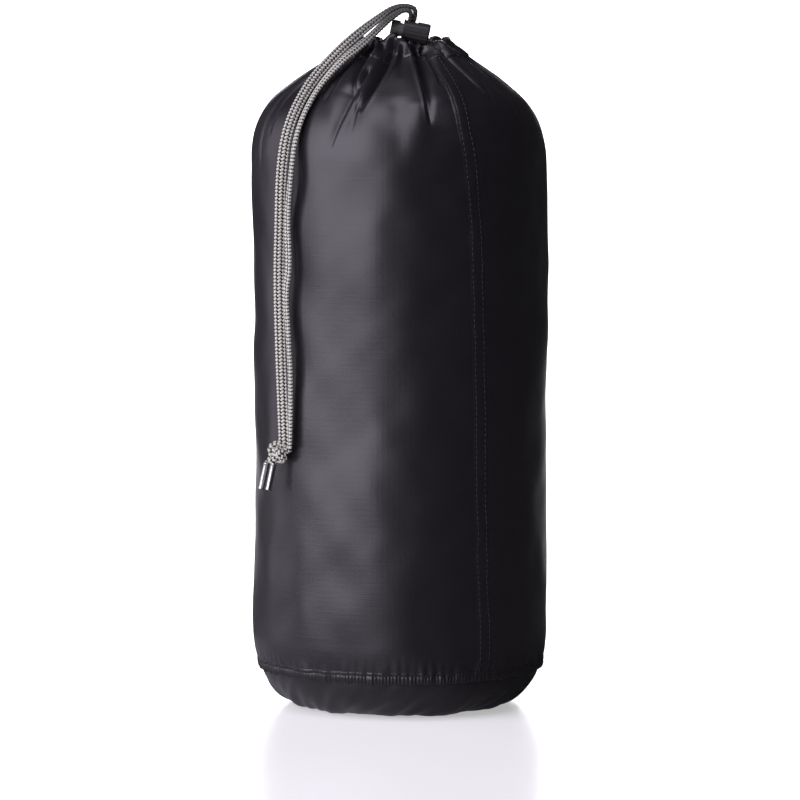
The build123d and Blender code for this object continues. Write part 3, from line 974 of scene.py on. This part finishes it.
# --- Metal tips ---
# Nickel-plated brass tips, 15.7 mm long and 3.2 mm across, rolled round the cord's ends. Each is
# squeezed slightly oval along its middle so that it holds the braid.
def nickel_plate():
    """Bright nickel plating on rolled brass: pale mirror with fine lengthwise draw marks."""
    made, tree, shader = new_material(
        "nickel_plated_brass", Base_Color=paint("#c9cac8"), Metallic=1.0, Roughness=0.2
    )
    where = add_node(tree, "ShaderNodeTexCoord").outputs["UV"]
    place = add_node(tree, "ShaderNodeMapping", {"Vector": where, "Scale": (0.4, 30, 1)}).outputs["Vector"]
    draw = add_node(tree, "ShaderNodeTexNoise", {"Vector": place, "Scale": 1.5, "Detail": 3.0})
    marks = add_node(
        tree, "ShaderNodeMapRange", {"Value": draw.outputs["Fac"], "To Min": 0.16, "To Max": 0.24}
    )
    tree.links.new(marks.outputs["Result"], shader.inputs["Roughness"])
    return made


nickel = nickel_plate()
tip_profile = np.array([
    # length down the tip, radius: a rolled mouth, a straight body, and a rolled, open end
    (0.6, 1.1), (0.0, 1.35), (-0.1, 1.6), (0.2, 1.76), (0.7, 1.78), (1.1, 1.66), (1.6, 1.62), (5.0, 1.62),
    (9.0, 1.62), (14.0, 1.62), (14.5, 1.66), (14.9, 1.80), (15.3, 1.84), (15.6, 1.78), (15.6, 1.60),
    (15.3, 1.42), (13.9, 1.30), (13.8, 0.05),
]) * MM
tip_around = 40
for side, end in (("left", (-79.2, -55.5, 129.0)), ("right", (-75.0, -60.4, 128.6))):
    start = tip_mouths[side]
    tip_axis = unit(np.array(end) * MM - start)
    tip_x = unit(np.cross(tip_axis, (0, 1.0, 0)))
    tip_y = np.cross(tip_axis, tip_x)
    spin = np.arange(tip_around) * 2 * np.pi / tip_around
    squeeze = np.interp(tip_profile[:, 0], np.array([1.6, 5.0, 9.0, 14.0]) * MM, [0, 0.03, 0.05, 0])
    ring = tip_x * (np.cos(spin)[:, None]) * (1 + squeeze)[:, None, None]
    ring = ring + tip_y * (np.sin(spin)[:, None]) * (1 - squeeze)[:, None, None]
    points = start + tip_axis * tip_profile[:, :1, None] + ring * tip_profile[:, 1:, None]
    uv = np.stack(np.broadcast_arrays(tip_profile[:, :1] / MM, spin), axis=-1)
    tip = put_mesh(f"aglet_{side}_tip", points, grid_faces(len(tip_profile), tip_around), uv)
    tip.data.materials.append(nickel)
    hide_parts(f"aglet_{side}")
    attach(tip, "cord_tail")


# --- Free strands ---
# Each strand leaves the lock's slot, folds over the button and bridges to the shoulder, then hangs
# down the left front to the knot. The left one faces forward and the right one hangs on edge.
turns_left = [
    # share of the length, turn of the flat braid about its own line in degrees
    (0.0, 90), (0.06, 70), (0.16, 20), (0.3, 5), (0.6, -8), (1.0, 8),
]
turns_right = [
    (0.0, 90), (0.06, 60), (0.16, 50), (0.3, 78), (0.45, 84), (0.55, 66), (0.64, 60), (0.8, 80),
    (1.0, 78),
]
for side, loop, tail, turns in (
    ("left", loop_left, tail_left, turns_left),
    ("right", loop_right, tail_right, turns_right),
):
    line, along = spline_line(f"tail_line_{side}", np.vstack([loop, tail]), 0.3 * MM)
    stations = np.array(turns)
    lean = np.radians(np.interp(along / along[-1], stations[:, 0], stations[:, 1]))
    tangent = unit(np.gradient(line, axis=0))
    depth = np.array([0, -1.0, 0])
    sideways = unit(np.cross(tangent, depth))
    wide = sideways * np.cos(lean)[:, None] + np.cross(tangent, sideways) * np.sin(lean)[:, None]
    strand = braid(f"tail_strand_{side}_braid", line, along, wide)
    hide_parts(f"cord_loop_{side}", f"tail_strand_{side}")
    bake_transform(strand)


# --- Neck of the cord ---
# The same flat polyester braid, drawn narrower, inside the casing, and the two strands of it that
# leave the casing's slot and run up into the lock.
def ring_line():
    """The cord's ring in the tunnel, open at the front where the strands turn up."""
    ring_r = 18.5 * MM
    turn = np.linspace(-np.pi / 2 + 0.2, 1.5 * np.pi - 0.08, 420)
    return np.stack([ring_r * np.cos(turn), ring_r * np.sin(turn), 375.3 * MM + 0 * turn], axis=-1)


line = ring_line()
run = np.concatenate([[0], np.cumsum(np.linalg.norm(np.diff(line, axis=0), axis=1))])
upright = np.broadcast_to([0, 0, 1.0], line.shape)
hidden = braid("drawcord_in_casing_braid", line, run, upright, half_w=1.9 * MM, half_t=0.7 * MM)
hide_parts("drawcord_in_casing")
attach(hidden, "sack")
neck_length = 19.5 * MM
for side, shift in (("left", -2.3), ("right", -0.6)):
    foot = lock_hole + lock_axis * shift * MM - lock_up * 14.6 * MM
    share = np.linspace(0, 1, 66)[:, None]
    line = foot + lock_up * neck_length * share
    run = share[:, 0] * neck_length
    inward = np.broadcast_to([0, 1.0, 0], line.shape)
    neck = braid(f"drawcord_neck_{side}_braid", line, run, inward, half_w=2.0 * MM, half_t=0.35 * MM)
    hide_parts(f"drawcord_neck_{side}")
    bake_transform(neck)
